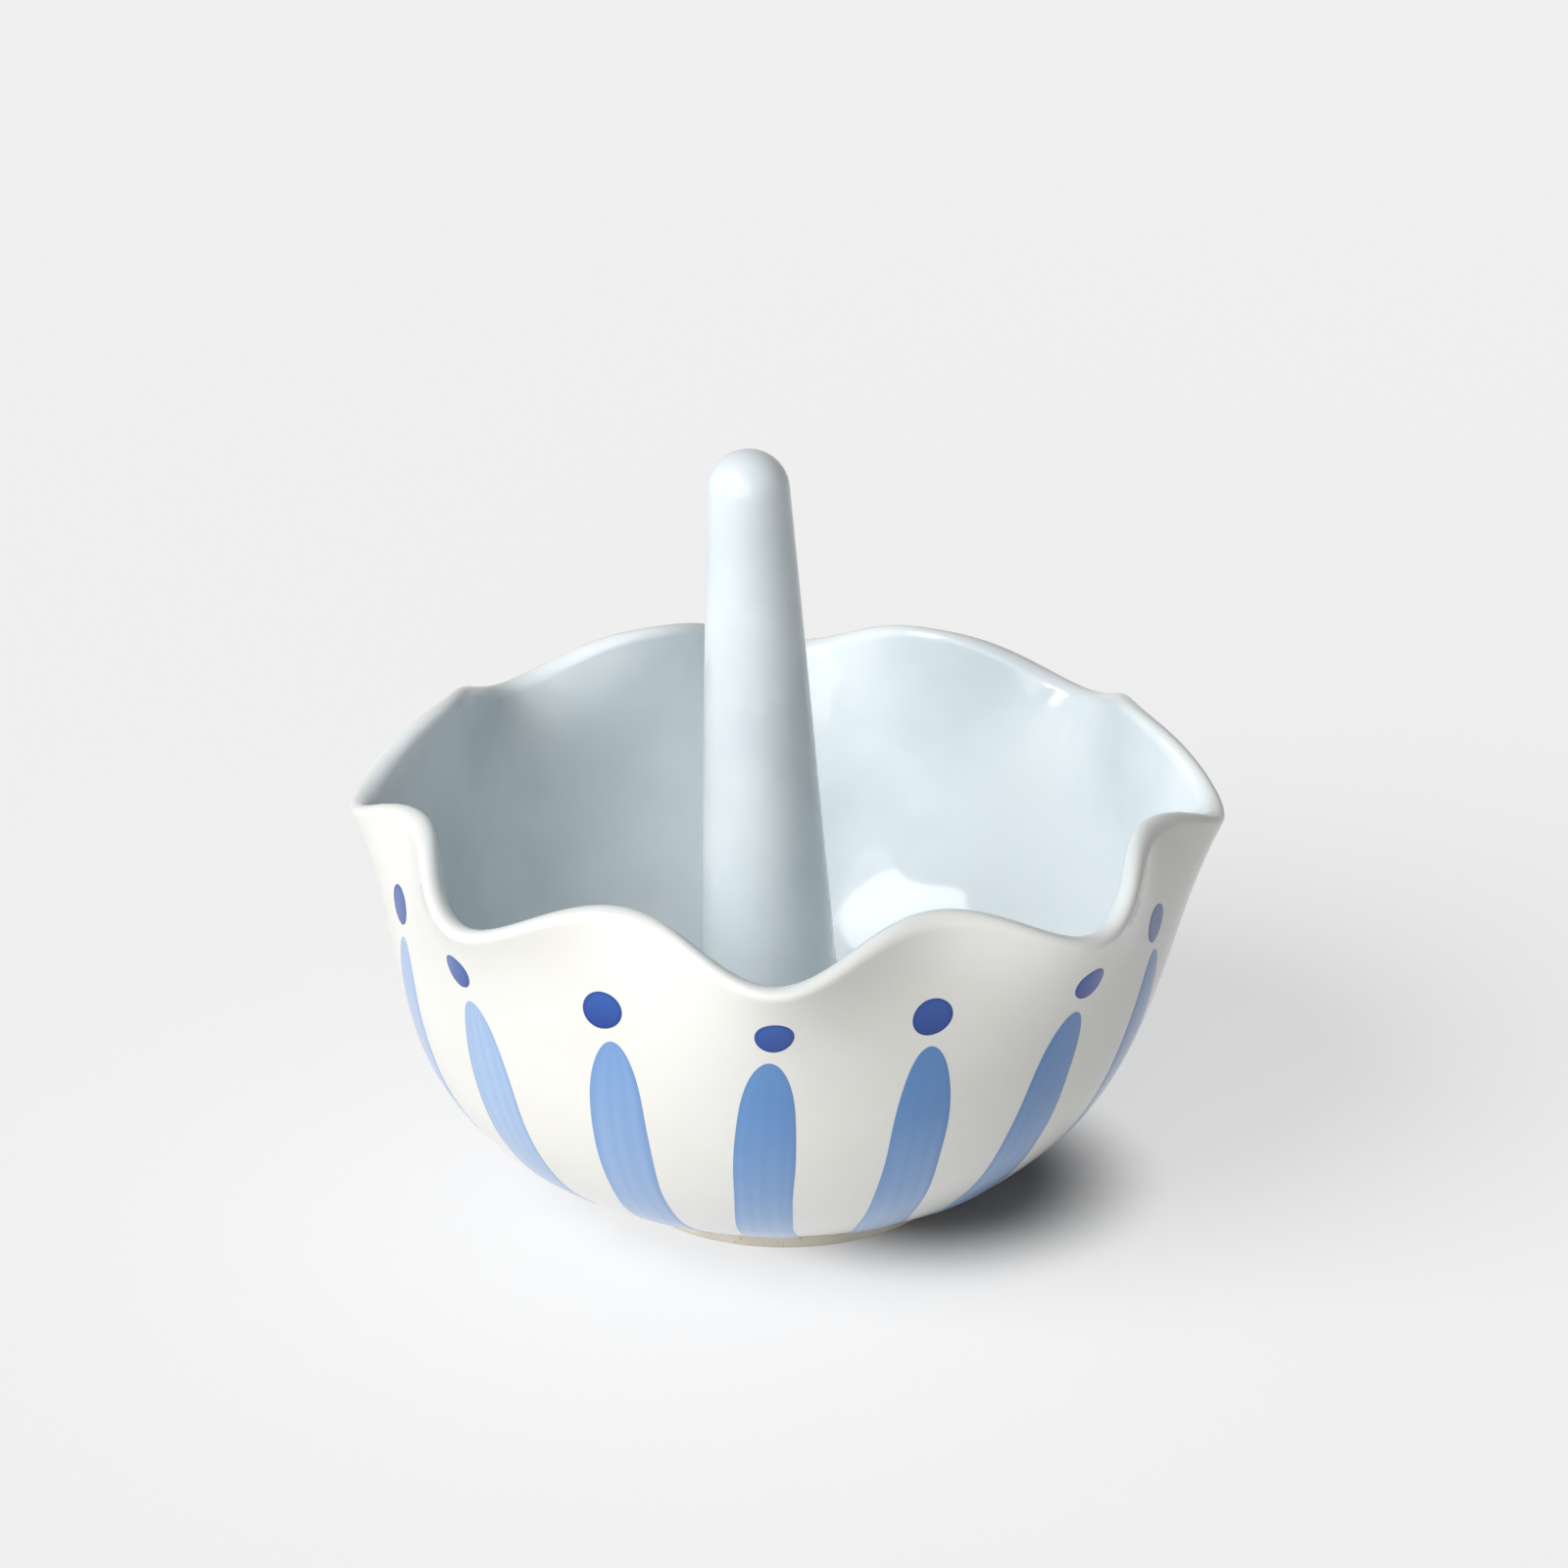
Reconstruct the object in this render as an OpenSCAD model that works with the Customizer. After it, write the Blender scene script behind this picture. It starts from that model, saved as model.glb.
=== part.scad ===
// A ring dish in glazed stoneware: a bowl with a ruffled rim on a low foot ring, and a tall ring cone
// that stands in the middle. Sizes are in millimetres. The table is at Z = 0, the front valley of the
// ruffle points to -Y, and the origin is under the centre of the rim.

/* [Foot ring] */
// Outer diameter of the bare clay ring, at its top
foot_d = 43.8; // [36:0.2:52]
// Height of the ring, which is also the height of the glaze line
foot_h = 2.8; // [1.6:0.1:4.4]
// Radial width of the ring
foot_w = 4.0; // [2:0.1:6]
// Radius of the ring's worn edges
foot_edge = 0.4; // [0.1:0.05:0.7]
// How far the hand-turned foot lies off the rim's centre, towards -X
foot_shift = 0.2; // [0:0.1:3]

/* [Bowl] */
// Mean outer diameter at the rim
rim_d = 103; // [92:0.2:116]
// Mean height of the middle of the lip
rim_z = 52.5; // [46:0.5:60]
// Slope of the wall where it leaves the foot, in degrees
foot_slope = 17.5; // [14:0.5:26]
// How far the wall keeps that slope
foot_pull = 26.5; // [22:0.5:30]
// Slope of the wall at the rim, in degrees
rim_slope = 82; // [76:0.5:88]
// How far down the wall keeps the rim's slope
rim_pull = 23.5; // [15:0.5:28]
// Thickness of the wall with its glaze, and of the round lip
wall = 3.0; // [2.4:0.1:4]
// Thickness of the floor with its glaze
floor_t = 3.8; // [3.2:0.1:5]
// How far the hand-thrown belly, its floor and the cone lie off the rim's centre, towards -X
belly_shift = 1.5; // [0:0.1:3]

/* [Ruffle] */
// Lobes around the rim
lobes = 8; // [5:1:10]
// How far a valley of the rim leans out, and a crest leans in
ruffle_out = 2.7; // [1:0.1:4]
// How far a valley of the rim dips, and a crest rises
ruffle_drop = 2.7; // [1:0.1:4]
// How much flatter the crests are than the valleys
ruffle_flat = 0.3; // [0:0.05:0.6]
// Height at which the round bowl starts to ruffle
ruffle_start = 27; // [20:0.5:34]
// How late the ruffle grows on its way up
ruffle_power = 2.2; // [1.5:0.1:3]

/* [Glaze] */
// Thickness of each coat of glaze
glaze = 0.4; // [0.2:0.05:0.6]

/* [Painted marks] */
// Thickness of the blue slip
mark_t = 0.1; // [0.05:0.01:0.2]
// Diameter of a dot
dot_d = 4.7; // [3:0.1:5.5]
// Height of the dots' centres
dot_z = 44.3; // [43.6:0.1:45.4]
// Height of the petals' tips
petal_z = 40.2; // [36:0.1:41]
// Widest part of a petal
petal_w = 7.3; // [4:0.1:9]
// Width of a petal at the foot
petal_foot_w = 5.9; // [2:0.1:6.4]
// Share of a petal's length that its rounded head takes up
petal_head = 0.36; // [0.2:0.02:0.5]

/* [Ring cone] */
// Diameter of the glazed cone at the bowl's floor
cone_d = 20.1; // [16:0.1:22]
// Diameter of the rounded tip
tip_d = 10.1; // [8:0.1:12]
// Height of the top of the tip
cone_top_z = 97.3; // [85:0.5:110]
// How far the hand-set cone leans towards -X, in degrees
cone_lean = 2.1; // [0:0.1:3]
// Radius of the wiped joint around the cone's base
joint_r = 3.0; // [2:0.1:4]

/* [Hidden] */
$fn = 96;

// Places worked out from the sizes above
foot_r = foot_d / 2;
lip_r = wall / 2;
floor_z = foot_h + floor_t;
clay_floor_z = floor_z - glaze;
core_r = cone_d / 2 - glaze;
joint_end_r = core_r + joint_r;
// The cone's glaze ends a little past its joint, and the bowl's liner starts there
coat_end_r = joint_end_r + glaze;
// The bowl sways from its foot's centre to its belly's centre up to this height, and then to the rim's
sway_start = 12;
tiny = 0.3;
reach = 200;

// Columns and rows of the moulded surfaces. Each sector holds one dot over one petal.
sectors = 2 * lobes;
sector = 360 / sectors;
half_sector = sector / 2;
even_half = half_sector / 3;
wall_rows = [0.1, 0.2, 0.3, 0.4, 0.5, 0.6, 0.75, 0.9, 1];
lip_steps = 6;
clay_lip_steps = 4;
petal_rows_up = [1, 0.85, 0.7, 0.56, 0.42, 0.3, 0.2, 0.12, 0.06, 0.02, 0];
petal_start_t = 0.012;
dot_steps = 6;

function mix(a, b, u) = a + (b - a) * u;
function ease(u) = u <= 0 ? 0 : u >= 1 ? 1 : u * u * (3 - 2 * u);
// The larger of two heights, with a soft change from one to the other
function soft_max(a, b, soft = 1.2) = (a + b + sqrt((a - b) * (a - b) + soft * soft)) / 2;

// The outer wall of the round bowl, from the foot (t = 0) to the rim (t = 1), as [radius, height]
p0 = [foot_r, foot_h];
p1 = p0 + foot_pull * [cos(foot_slope), sin(foot_slope)];
p3 = [rim_d / 2, rim_z];
p2 = p3 - rim_pull * [cos(rim_slope), sin(rim_slope)];
function wall_at(t) =
    let (s = 1 - t) s * s * s * p0 + 3 * s * s * t * p1 + 3 * s * t * t * p2 + t * t * t * p3;
function wall_dir(t) =
    let (s = 1 - t) 3 * (s * s * (p1 - p0) + 2 * s * t * (p2 - p1) + t * t * (p3 - p2));
function along(t) = wall_dir(t) / norm(wall_dir(t));
function inward(t) = let (d = along(t)) [-d.y, d.x];
// Where on the wall a height lies, by halving
function t_at(z, low = 0, high = 1, turns = 24) =
    let (middle = (low + high) / 2)
    turns == 0 ? middle :
    wall_at(middle).y < z ? t_at(z, middle, high, turns - 1) : t_at(z, low, middle, turns - 1);

// How much of the ruffle a height of the round bowl has
function ruffle(z) = z <= ruffle_start ? 0 : pow((z - ruffle_start) / (rim_z - ruffle_start), ruffle_power);
function sway(z) =
    -mix(foot_shift, belly_shift, ease((z - foot_h) / (sway_start - foot_h)))
    * (1 - ease((z - sway_start) / (rim_z - sway_start)));

// The marks keep one height around the bowl, and from there the rows follow the rim more and more
dot_t = t_at(dot_z);
dot_reach = dot_d / 2 / norm(wall_dir(dot_t));
petal_t = t_at(petal_z);
level_t = dot_t + dot_reach;
function level(t) = t <= level_t ? 1 : (1 - t) / (1 - level_t);
function levelled(t, c) =
    t + level(t) * ruffle(wall_at(t).y) * ruffle_drop * c / wall_dir(t).y;

// A point of the wall at an angle, sunk by a depth, as [radius, height, height on the round bowl]
function ruffled(t, angle, offset) =
    let (c = cos(lobes * angle), b = wall_at(t), w = ruffle(b.y))
    [
        b.x + offset.x + w * ruffle_out * c,
        b.y + offset.y - w * (ruffle_drop * c + w * ruffle_flat * cos(2 * lobes * angle)),
        b.y
    ];
function on_wall(t, angle, depth) = ruffled(t, angle, depth * inward(t));
function on_skin(t, angle, depth) = on_wall(levelled(t, cos(lobes * angle)), angle, depth);
function on_lip(turn, angle, depth) =
    let (r = lip_r - depth)
    ruffled(1, angle, (lip_r - r * cos(turn)) * inward(1) + r * sin(turn) * along(1));
function on_inside(t, angle, depth, bottom) =
    let (p = on_wall(t, angle, depth)) [p.x, soft_max(p.y, bottom), p[2]];
function place(p, angle) = [p.x * sin(angle) + sway(p[2]), -p.x * cos(angle), p.y];

// Columns around the bowl: in each sector one line on either edge of its mark, and one down its middle
function columns(half) = [
    for (n = [0:sectors - 1])
        for (step = [-half_sector, -(half_sector + half) / 2, -half, 0, half, (half_sector + half) / 2])
            n * sector + step
];
even = columns(even_half);
count = len(even);

// Half the width of a mark, turned into an angle where the wall has the radius of t
function half_angle(width, t) = max(tiny, width / 2) / wall_at(t).x * 180 / PI;
function petal_width(v) =
    v < petal_head ? petal_w * sqrt(1 - pow(1 - v / petal_head, 3)) :
    mix(petal_w, petal_foot_w, pow((v - petal_head) / (1 - petal_head), 1.5));
petal_rows = [
    for (v = petal_rows_up)
        let (t = mix(petal_t, petal_start_t, v)) [t, half_angle(petal_width(v), t)]
];
dot_rows = [
    for (n = [0:dot_steps])
        let (turn = 180 * n / dot_steps - 90)
        [dot_t + dot_reach * sin(turn), half_angle(dot_d * cos(turn), dot_t)]
];

// Rows of points around the bowl
function skin_row(row) = [for (a = columns(row[1])) place(on_skin(row[0], a, 0), a)];
function wall_row(t, depth) = [for (a = even) place(on_wall(t, a, depth), a)];
function lip_row(turn, depth) = [for (a = even) place(on_lip(turn, a, depth), a)];
function inside_row(t, depth, bottom) = [for (a = even) place(on_inside(t, a, depth, bottom), a)];
function flat_row(r, z, shift) = [for (a = even) [r * sin(a) - shift, -r * cos(a), z]];

skin_rows = concat(
    [for (row = concat([[0, even_half]], petal_rows, dot_rows)) skin_row(row)],
    [for (t = [mix(level_t, 1, 0.5), 1]) skin_row([t, even_half])],
    [for (n = [1:lip_steps]) lip_row(180 * n / lip_steps, 0)]
);
// The clay under the outer glaze, from the glaze line on the foot ring to the inner edge of the lip
glaze_line_r = foot_r - glaze / sin(foot_slope);
clay_outer_rows = concat(
    [flat_row(glaze_line_r, foot_h, foot_shift)],
    [for (t = wall_rows) wall_row(t, glaze)],
    [for (n = [1:clay_lip_steps]) lip_row(180 * n / clay_lip_steps, glaze)]
);
inside_steps = [for (n = [len(wall_rows) - 2:-1:0]) wall_rows[n]];
// The level part of the floor starts halfway between the wall's foot and the cone's glaze
level_floor_r = mix(wall_at(0).x + wall * inward(0).x, coat_end_r, 0.5);
function inside_rows(depth, bottom) = concat(
    [for (t = inside_steps) inside_row(t, depth, bottom)],
    [inside_row(0, depth, bottom)],
    [flat_row(level_floor_r, bottom, belly_shift)],
    [flat_row(coat_end_r, bottom, belly_shift)]
);
liner_rows = concat([wall_row(1, wall)], inside_rows(wall, floor_z));
// The clay under the liner starts with the last row of the clay's lip
clay_inside_rows = inside_rows(wall - glaze, clay_floor_z);
clay_under_liner_rows = concat([clay_outer_rows[len(clay_outer_rows) - 1]], clay_inside_rows);

function joined(lists) = [for (list = lists) for (item = list) item];
// Triangles between two rows, or sheets of rows, that start at the given point numbers
function strip(a, b, n, closed = true) = [
    for (i = [0:n - (closed ? 1 : 2)])
        let (k = (i + 1) % n)
        each [[a + i, b + k, a + k], [a + i, b + i, b + k]]
];
function sheet(first, rows, n, closed = true) =
    [for (i = [0:rows - 2]) each strip(first + i * n, first + (i + 1) * n, n, closed)];
function turned(faces) = [for (f = faces) [f[2], f[1], f[0]]];
function fan(first, centre, n) = [for (i = [0:n - 1]) [first + i, centre, first + (i + 1) % n]];

// A coat with an outer and an inner sheet, which run the same way and are joined at both ends
module coat(front, back) {
    second = len(front) * count;
    front_last = second - count;
    back_last = second + (len(back) - 1) * count;
    polyhedron(
        points = joined(concat(front, back)),
        faces = concat(
            sheet(0, len(front), count),
            turned(sheet(second, len(back), count)),
            turned(strip(0, second, count)),
            strip(front_last, back_last, count)
        )
    );
}

// A mark on the glaze, from its first row to its last, in one sector
module mark(rows, n) {
    function line(row, depth) = [
        for (step = [-row[1], 0, row[1]])
            let (a = n * sector + step) place(on_skin(row[0], a, depth), a)
    ];
    top = [for (row = rows) each line(row, -mark_t)];
    under = [for (row = rows) each line(row, 0)];
    m = len(top);
    left = [for (i = [0:len(rows) - 1]) 3 * i];
    right = [for (i = left) i + 2];
    edge = concat([0, 1], right, [m - 2], [for (i = [len(left) - 1:-1:1]) left[i]]);
    polyhedron(
        points = concat(top, under),
        faces = concat(
            sheet(0, len(rows), 3, false),
            turned(sheet(m, len(rows), 3, false)),
            [
                for (i = [0:len(edge) - 1])
                    let (a = edge[i], b = edge[(i + 1) % len(edge)])
                    each [[a, b, b + m], [a, b + m, a + m]]
            ]
        )
    );
}

module on_belly_axis() {
    translate([-belly_shift, 0, 0]) children();
}

module above_clay_floor() {
    intersection() {
        children();
        translate([-reach / 2, -reach / 2, clay_floor_z]) cube(reach);
    }
}

// A leaning solid cone with a ball for its tip, with its sides grown by a thickness
module leaning_cone(grow) {
    tip_r = tip_d / 2 - glaze + grow;
    base_r = core_r + grow;
    tip_z = cone_top_z - clay_floor_z - tip_d / 2;
    taper = asin((base_r - tip_r) / norm([base_r - tip_r, tip_z]));
    skirt = 2;
    translate([0, 0, clay_floor_z]) rotate([0, -cone_lean, 0]) rotate_extrude() {
        polygon([
            [0, -skirt],
            [base_r + skirt * tan(taper), -skirt],
            [tip_r * cos(taper), tip_z + tip_r * sin(taper)],
            [0, tip_z + tip_r * sin(taper)]
        ]);
        translate([0, tip_z]) intersection() {
            circle(tip_r);
            square(tip_r + 1);
        }
    }
}

// The hollow curve between the floor and the cone, with a skin over it
module joint_shape(skin) {
    rotate_extrude() difference() {
        square([joint_end_r, clay_floor_z + joint_r]);
        translate([joint_end_r, clay_floor_z + joint_r]) circle(joint_r - skin);
    }
}

module foot_ring() {
    inner_r = foot_r - foot_w;
    outer_r = foot_r - foot_edge / 2;
    color("tan") translate([-foot_shift, 0, 0]) rotate_extrude() polygon([
        [inner_r, foot_h],
        [inner_r, foot_edge],
        [inner_r + foot_edge, 0],
        [outer_r - foot_edge, 0],
        [outer_r, foot_edge],
        [outer_r, foot_h]
    ]);
}

module bowl_body() {
    rows = concat(clay_outer_rows, clay_inside_rows);
    total = len(rows) * count;
    points = concat(joined(rows), [[-belly_shift, 0, clay_floor_z], [-foot_shift, 0, foot_h]]);
    color("wheat") polyhedron(
        points = points,
        faces = concat(
            sheet(0, len(rows), count),
            fan(total - count, total, count),
            turned(fan(0, total + 1, count))
        )
    );
}

module outer_glaze() {
    color("ivory") coat(skin_rows, clay_outer_rows);
}

module liner_glaze() {
    color("lightblue") coat(liner_rows, clay_under_liner_rows);
}

module slip_joint() {
    color("wheat") difference() {
        above_clay_floor() on_belly_axis() joint_shape(0);
        on_belly_axis() leaning_cone(0);
    }
}

module ring_cone() {
    color("white") above_clay_floor() on_belly_axis() leaning_cone(0);
}

module cone_glaze() {
    color("azure") difference() {
        above_clay_floor() on_belly_axis() {
            leaning_cone(glaze);
            joint_shape(glaze);
            cylinder(r = coat_end_r, h = floor_z);
        }
        on_belly_axis() joint_shape(0);
        on_belly_axis() leaning_cone(0);
    }
}

module dot_marks() {
    color("mediumblue") for (n = [0:sectors - 1]) mark(dot_rows, n);
}

module petal_marks() {
    color("cornflowerblue") for (n = [0:sectors - 1]) mark(petal_rows, n);
}

foot_ring();
bowl_body();
outer_glaze();
liner_glaze();
slip_joint();
ring_cone();
cone_glaze();
dot_marks();
petal_marks();
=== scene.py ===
"""A glazed stoneware ring dish, dressed around its packed construction model.

The dish's surfaces are worked out in millimetres from the same sizes as the construction model, on finer
grids, and are written to meshes in metres. Angles are in radians and run from the front valley of the
ruffle, at -Y, towards +X.
"""
import logging
import math
from dataclasses import dataclass, field
from enum import Enum

import bpy
import numpy as np
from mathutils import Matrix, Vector


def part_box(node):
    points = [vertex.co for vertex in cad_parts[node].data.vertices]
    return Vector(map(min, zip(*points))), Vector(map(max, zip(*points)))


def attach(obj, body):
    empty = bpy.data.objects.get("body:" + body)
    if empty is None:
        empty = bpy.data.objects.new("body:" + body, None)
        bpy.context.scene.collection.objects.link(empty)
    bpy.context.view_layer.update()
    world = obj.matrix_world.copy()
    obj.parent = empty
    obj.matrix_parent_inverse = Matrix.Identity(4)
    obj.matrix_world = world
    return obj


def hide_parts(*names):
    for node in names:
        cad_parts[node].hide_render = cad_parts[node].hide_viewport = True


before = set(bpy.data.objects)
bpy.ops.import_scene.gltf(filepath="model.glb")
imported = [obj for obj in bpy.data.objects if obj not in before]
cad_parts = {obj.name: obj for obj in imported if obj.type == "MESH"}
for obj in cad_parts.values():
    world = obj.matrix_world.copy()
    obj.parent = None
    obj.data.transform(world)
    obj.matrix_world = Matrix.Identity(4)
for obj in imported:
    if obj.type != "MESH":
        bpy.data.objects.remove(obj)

LOG = logging.getLogger("ring_dish")
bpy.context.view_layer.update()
BODY = "root"
MM = 0.001
TURN = 2 * math.pi

Array = np.ndarray
Colour = tuple[float, float, float]


class Slot(Enum):
    """The record's material slots, one for each kind of new piece."""

    BARE_CLAY = "bare_clay"
    WHITE_GLAZE = "white_glaze"
    BLUE_GLAZE = "pale_blue_glaze"
    DOTS = "cobalt_slip"
    PETALS = "light_blue_slip"


class Mark(Enum):
    """The two kinds of brush marks on the outside."""

    DOT = "dot"
    PETAL = "petal"


def frame_box(node: str) -> tuple[Array, Array]:
    """The lowest and highest corner of a construction node, in millimetres.

    Args:
        node: The node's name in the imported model.

    Returns:
        The two corners.
    """
    low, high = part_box(node)
    return np.array(low) / MM, np.array(high) / MM


def ease(u: Array) -> Array:
    """A smooth step from 0 to 1: u squared times (3 - 2u), with u kept between 0 and 1."""
    u = np.clip(u, 0.0, 1.0)
    return u * u * (3 - 2 * u)


def mix(a: Array, b: Array, u: Array) -> Array:
    """The straight blend from a, where u is 0, to b, where u is 1."""
    return a + (b - a) * u


def soft_max(a: Array, b: Array, soft: float) -> Array:
    """The larger of two values, rounded where they meet: half of a + b + root((a - b)^2 + soft^2)."""
    return (a + b + np.sqrt((a - b) ** 2 + soft**2)) / 2


def polar(length: float, slope: float) -> Array:
    """A step of a given length in millimetres at a slope in degrees, as radius and height."""
    return length * np.array([math.cos(math.radians(slope)), math.sin(math.radians(slope))])


def linear(red: int, green: int, blue: int) -> Colour:
    """Turns a screen colour into a linear one.

    Args:
        red: The red part, from 0 to 255.
        green: The green part.
        blue: The blue part.

    Returns:
        The linear colour. Each part c is ((c / 255 + 0.055) / 1.055) to the power 2.4.
    """
    return tuple(((c / 255 + 0.055) / 1.055) ** 2.4 for c in (red, green, blue))


# Meshes


def grid_faces(rows: int, columns: int, round_rows: bool, round_columns: bool) -> Array:
    """The quads of a grid, which face along row step times column step.

    Args:
        rows: The number of rows of points.
        columns: The number of points in a row.
        round_rows: True if the last row joins the first.
        round_columns: True if each row's last point joins its first.

    Returns:
        An array of four point numbers a quad.
    """
    i, k = np.meshgrid(
        np.arange(rows if round_rows else rows - 1),
        np.arange(columns if round_columns else columns - 1),
        indexing="ij",
    )
    below, beside = (i + 1) % rows, (k + 1) % columns
    corners = (i * columns + k, i * columns + beside, below * columns + beside, below * columns + k)
    return np.stack([c.ravel() for c in corners], axis=1)


@dataclass
class Shell:
    """A closed surface: its points in millimetres, its smooth faces and the flat ones at its sharp ends."""

    points: Array
    smooth: list[Array]
    flat: list[Array] = field(default_factory=list)
    values: dict[str, Array] = field(default_factory=dict)


def make_piece(name: str, shells: list[Shell]) -> bpy.types.Object:
    """Writes closed shells into one mesh in metres, in the row frame.

    Args:
        name: The name of the piece.
        shells: The shells, which all hold the same kinds of values.

    Returns:
        The new object, which is linked to the scene. Each kind of value is a float attribute on its points.
    """
    points, loops, sizes, smooth, start = [], [], [], [], 0
    for shell in shells:
        for faces, is_smooth in [(f, True) for f in shell.smooth] + [(f, False) for f in shell.flat]:
            loops.append((faces + start).ravel())
            sizes.append(np.full(len(faces), faces.shape[1]))
            smooth.append(np.full(len(faces), is_smooth))
        points.append(shell.points.reshape(-1, 3))
        start += len(points[-1])
    corners, size = np.concatenate(loops).astype(np.int32), np.concatenate(sizes).astype(np.int32)
    mesh = bpy.data.meshes.new(name)
    mesh.vertices.add(start)
    mesh.vertices.foreach_set("co", (np.concatenate(points) * MM).astype(np.float32).ravel())
    mesh.loops.add(len(corners))
    mesh.loops.foreach_set("vertex_index", corners)
    mesh.polygons.add(len(size))
    mesh.polygons.foreach_set("loop_start", np.concatenate([[0], np.cumsum(size)[:-1]]).astype(np.int32))
    rounded = np.concatenate(smooth)
    mesh.polygons.foreach_set("use_smooth", rounded)
    for key in shells[0].values:
        numbers = np.concatenate([shell.values[key].ravel() for shell in shells])
        mesh.attributes.new(key, "FLOAT", "POINT").data.foreach_set("value", numbers.astype(np.float32))
    mesh.update(calc_edges=True)
    edge = np.empty(len(corners), np.int32)
    mesh.loops.foreach_get("edge_index", edge)
    sharp = np.zeros(len(mesh.edges), bool)
    sharp[edge[np.repeat(~rounded, size)]] = True
    mesh.edges.foreach_set("use_edge_sharp", sharp)
    mesh.validate()
    piece = bpy.data.objects.new(name, mesh)
    bpy.context.scene.collection.objects.link(piece)
    return piece


def dress(piece: bpy.types.Object, material: bpy.types.Material, slot: Slot, *nodes: str) -> None:
    """Gives a new piece its finish and its place in the frame.

    Args:
        piece: The new piece.
        material: Its finish.
        slot: The record's material slot for it; not used.
        nodes: The construction nodes that it stands for.
    """
    piece.data.materials.append(material)
    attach(piece, BODY)
    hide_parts(*nodes)
    LOG.info("%s: %d points, for %s", piece.name, len(piece.data.vertices), ", ".join(nodes))


# The shape that the bowl, its glazes and its marks share


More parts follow.
